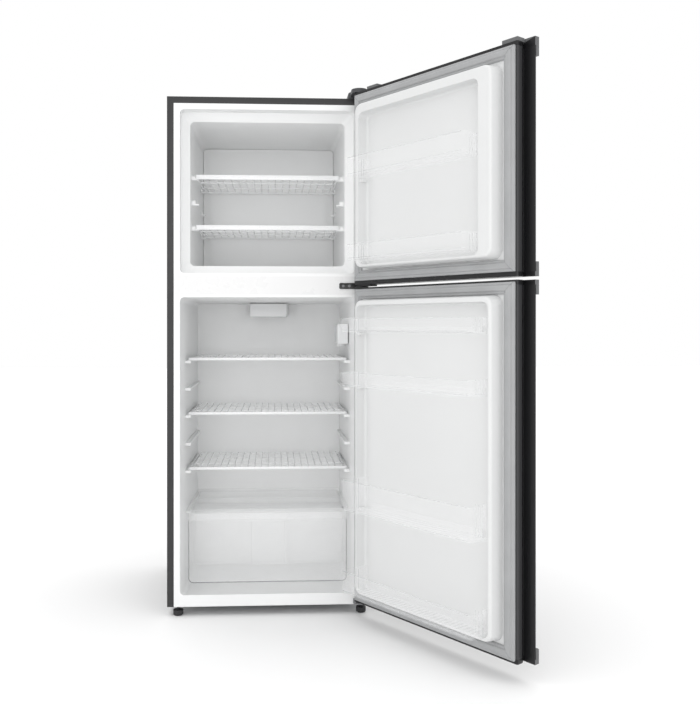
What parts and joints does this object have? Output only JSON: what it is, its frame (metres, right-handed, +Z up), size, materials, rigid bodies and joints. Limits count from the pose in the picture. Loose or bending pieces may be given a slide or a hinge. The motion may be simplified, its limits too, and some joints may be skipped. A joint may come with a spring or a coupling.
{
  "type": "top freezer refrigerator",
  "caption": "Upright refrigerator with a freezer above: black case, white liner, two right-hinged doors standing open, wire shelves, clear door racks and a crisper drawer.",
  "frame": {"origin": "on the floor under the middle of the cabinet's footprint, without the doors", "axes": "+Z up; +Y towards the cabinet's back; +X to the right seen from the front, the hinge side. The doors open towards -Y."},
  "size_m": [0.9623, 1.0808, 1.577],
  "materials": {
    "case_black": "satin baked enamel",
    "back_metal": "galvanised and painted sheet",
    "foam": "rigid cellular foam",
    "liner_white": "vacuum-formed, semi-gloss",
    "mullion_white": "smooth gloss enamel",
    "housing_white": "moulded, semi-gloss",
    "gasket_grey": "soft matte vinyl",
    "clear_plastic": "clear moulded",
    "clear_glass": "clear",
    "frosted_plastic": "frosted",
    "white_wire": "plastic-coated wire",
    "fin_aluminium": "mill finish",
    "fan_plastic": "moulded",
    "compressor_black": "gloss enamel",
    "black_rubber": "matte",
    "copper_tube": "drawn tube",
    "black_plastic": "moulded",
    "hinge_steel": "zinc-plated pressing",
    "hinge_black": "black enamel",
    "screw_steel": "plated",
    "hinge_cover_grey": "fine grain",
    "profile_grey": "moulded, satin",
    "cap_grey": "moulded, satin"
  },
  "bodies": {
    "cabinet": {"outer_case": "case_black", "back_panel": "back_metal", "cabinet_foam": "foam", "freezer_liner": "liner_white", "fridge_liner": "liner_white", "mullion_cover": "mullion_white", "base_pan": "back_metal", "freezer_rear_cover": "liner_white", "evaporator": "fin_aluminium", "evaporator_fan_motor": "fan_plastic", "compressor": "compressor_black", "compressor_grommets": "black_rubber", "terminal_cover": "black_plastic", "drip_tray": "fan_plastic", "refrigerant_tubes": "copper_tube", "machine_cover": "black_plastic", "supply_cord_gland": "black_plastic", "thermostat_housing": "housing_white", "lamp_cover": "frosted_plastic", "lamp_bulb": "clear_glass", "air_duct_cover": "housing_white", "crisper_cover_frame": "clear_glass", "crisper_cover_glass": "clear_glass", "top_hinge": "hinge_steel", "top_hinge_cover": "hinge_cover_grey", "middle_hinge": "hinge_black", "bottom_hinge": "hinge_steel", "hinge_screws": "screw_steel"},
    "evaporator_fan": {"evaporator_fan_blade": "fan_plastic"},
    "thermostat_dial": {"thermostat_knob": "housing_white"},
    "crisper": {"crisper_drawer": "clear_plastic"},
    "freezer_shelf_top": {"freezer_shelf_upper": "white_wire"},
    "freezer_shelf_low": {"freezer_shelf_lower": "white_wire"},
    "fridge_shelf_high": {"fridge_shelf_top": "white_wire"},
    "fridge_shelf_mid": {"fridge_shelf_middle": "white_wire"},
    "fridge_shelf_low": {"fridge_shelf_bottom": "white_wire"},
    "left_foot": {"front_foot_left": "black_plastic"},
    "right_foot": {"front_foot_right": "black_plastic"},
    "left_roller": {"rear_roller_left": "black_plastic"},
    "right_roller": {"rear_roller_right": "black_plastic"},
    "freezer_door": {"freezer_door_panel": "case_black", "freezer_door_handle": "profile_grey", "freezer_door_liner": "liner_white", "freezer_door_foam": "foam", "freezer_door_gasket": "gasket_grey", "freezer_door_cap_top": "cap_grey", "freezer_door_cap_bottom": "cap_grey"},
    "freezer_rack_1": {"freezer_door_rack_1": "clear_plastic"},
    "freezer_rack_2": {"freezer_door_rack_2": "clear_plastic"},
    "fridge_door": {"fridge_door_panel": "case_black", "fridge_door_handle": "profile_grey", "fridge_door_liner": "liner_white", "fridge_door_foam": "foam", "fridge_door_gasket": "gasket_grey", "fridge_door_cap_top": "cap_grey", "fridge_door_cap_bottom": "cap_grey"},
    "fridge_rack_1": {"fridge_door_rack_1": "clear_plastic"},
    "fridge_rack_2": {"fridge_door_rack_2": "clear_plastic"},
    "fridge_rack_3": {"fridge_door_rack_3": "clear_plastic"},
    "fridge_rack_4": {"fridge_door_rack_4": "clear_plastic"}
  },
  "joints": [
    {"name": "freezer_door_hinge", "type": "hinge", "parent": "cabinet", "child": "freezer_door", "pos_m": [0.286, -0.3077, 1.275], "axis": [0, 0, 1], "range_deg": [-125.7, 15]},
    {"name": "fridge_door_hinge", "type": "hinge", "parent": "cabinet", "child": "fridge_door", "pos_m": [0.286, -0.3077, 0.516], "axis": [0, 0, 1], "range_deg": [-125.7, 15]},
    {"name": "freezer_rack_1_lift", "type": "slide", "parent": "freezer_door", "child": "freezer_rack_1", "axis": [0, 0, 1], "range_m": [0, 0.03]},
    {"name": "freezer_rack_2_lift", "type": "slide", "parent": "freezer_door", "child": "freezer_rack_2", "axis": [0, 0, 1], "range_m": [0, 0.03]},
    {"name": "fridge_rack_1_lift", "type": "slide", "parent": "fridge_door", "child": "fridge_rack_1", "axis": [0, 0, 1], "range_m": [0, 0.018]},
    {"name": "fridge_rack_2_lift", "type": "slide", "parent": "fridge_door", "child": "fridge_rack_2", "axis": [0, 0, 1], "range_m": [0, 0.03]},
    {"name": "fridge_rack_3_lift", "type": "slide", "parent": "fridge_door", "child": "fridge_rack_3", "axis": [0, 0, 1], "range_m": [0, 0.03]},
    {"name": "fridge_rack_4_lift", "type": "slide", "parent": "fridge_door", "child": "fridge_rack_4", "axis": [0, 0, 1], "range_m": [0, 0.03]},
    {"name": "freezer_shelf_top_slide", "type": "slide", "parent": "cabinet", "child": "freezer_shelf_top", "axis": [0, -1, 0], "range_m": [0, 0.18]},
    {"name": "freezer_shelf_low_slide", "type": "slide", "parent": "cabinet", "child": "freezer_shelf_low", "axis": [0, -1, 0], "range_m": [0, 0.18]},
    {"name": "fridge_shelf_high_slide", "type": "slide", "parent": "cabinet", "child": "fridge_shelf_high", "axis": [0, -1, 0], "range_m": [0, 0.18]},
    {"name": "fridge_shelf_mid_slide", "type": "slide", "parent": "cabinet", "child": "fridge_shelf_mid", "axis": [0, -1, 0], "range_m": [0, 0.18]},
    {"name": "fridge_shelf_low_slide", "type": "slide", "parent": "cabinet", "child": "fridge_shelf_low", "axis": [0, -1, 0], "range_m": [0, 0.18]},
    {"name": "crisper_slide", "type": "slide", "parent": "cabinet", "child": "crisper", "axis": [0, -1, 0], "range_m": [0, 0.18]},
    {"name": "thermostat_turn", "type": "hinge", "parent": "cabinet", "child": "thermostat_dial", "pos_m": [0.236, -0.105, 0.808], "axis": [0, 0, 1], "range_deg": [0, 270]},
    {"name": "evaporator_fan_spin", "type": "hinge", "parent": "cabinet", "child": "evaporator_fan", "pos_m": [0, 0.152, 1.366], "axis": [0, 1, 0], "continuous": true},
    {"name": "left_foot_screw", "type": "slide", "parent": "cabinet", "child": "left_foot", "axis": [0, 0, 1], "range_m": [-0.01, 0]},
    {"name": "right_foot_screw", "type": "slide", "parent": "cabinet", "child": "right_foot", "axis": [0, 0, 1], "range_m": [-0.01, 0]},
    {"name": "left_roller_spin", "type": "hinge", "parent": "cabinet", "child": "left_roller", "pos_m": [-0.255, 0.23, 0.013], "axis": [1, 0, 0], "continuous": true},
    {"name": "right_roller_spin", "type": "hinge", "parent": "cabinet", "child": "right_roller", "pos_m": [0.255, 0.23, 0.013], "axis": [1, 0, 0], "continuous": true}
  ]
}
